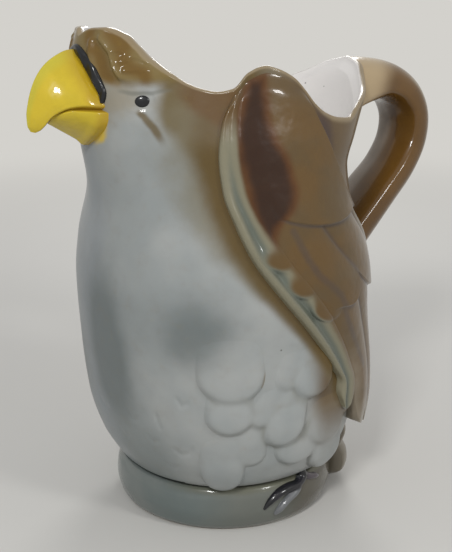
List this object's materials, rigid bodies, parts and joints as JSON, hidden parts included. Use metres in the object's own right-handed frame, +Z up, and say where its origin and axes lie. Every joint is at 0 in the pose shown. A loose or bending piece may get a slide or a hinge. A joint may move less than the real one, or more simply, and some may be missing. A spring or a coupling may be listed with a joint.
{
  "type": "eagle-shaped water pitcher",
  "caption": "Glazed porcelain water pitcher shaped as a standing eagle, open from the crown to a back handle, with relief wings, leg feathers, claws and a hooked beak.",
  "frame": {"origin": "middle of the pitcher's length and width, at the height of the table it stands on", "axes": "+Z up; the beak points along -X and the handle stands at +X; +Y towards the eagle's right"},
  "size_m": [0.1758, 0.11, 0.178],
  "materials": {
    "breast_glaze": "glossy glazed porcelain, white to blue-grey",
    "foot_glaze": "glossy grey-green glaze",
    "beak_enamel": "glossy yellow enamel over glaze",
    "dark_enamel": "glossy near-black enamel",
    "wing_glaze": "glossy brown shaded glaze",
    "feather_glaze": "glossy white glaze",
    "tail_glaze": "glossy tan glaze",
    "claw_enamel": "dark purple-black enamel",
    "handle_glaze": "glossy tan to brown glaze"
  },
  "bodies": {
    "root": {"body_shell": "breast_glaze", "foot_ring": "foot_glaze", "beak_upper": "beak_enamel", "beak_lower": "beak_enamel", "beak_band": "dark_enamel", "eye_left": "dark_enamel", "eye_right": "dark_enamel", "wing_left": "wing_glaze", "wing_right": "wing_glaze", "leg_feathers_left": "feather_glaze", "leg_feathers_right": "feather_glaze", "tail": "tail_glaze", "foot_left": "claw_enamel", "foot_right": "claw_enamel", "handle": "handle_glaze"}
  },
  "joints": []
}
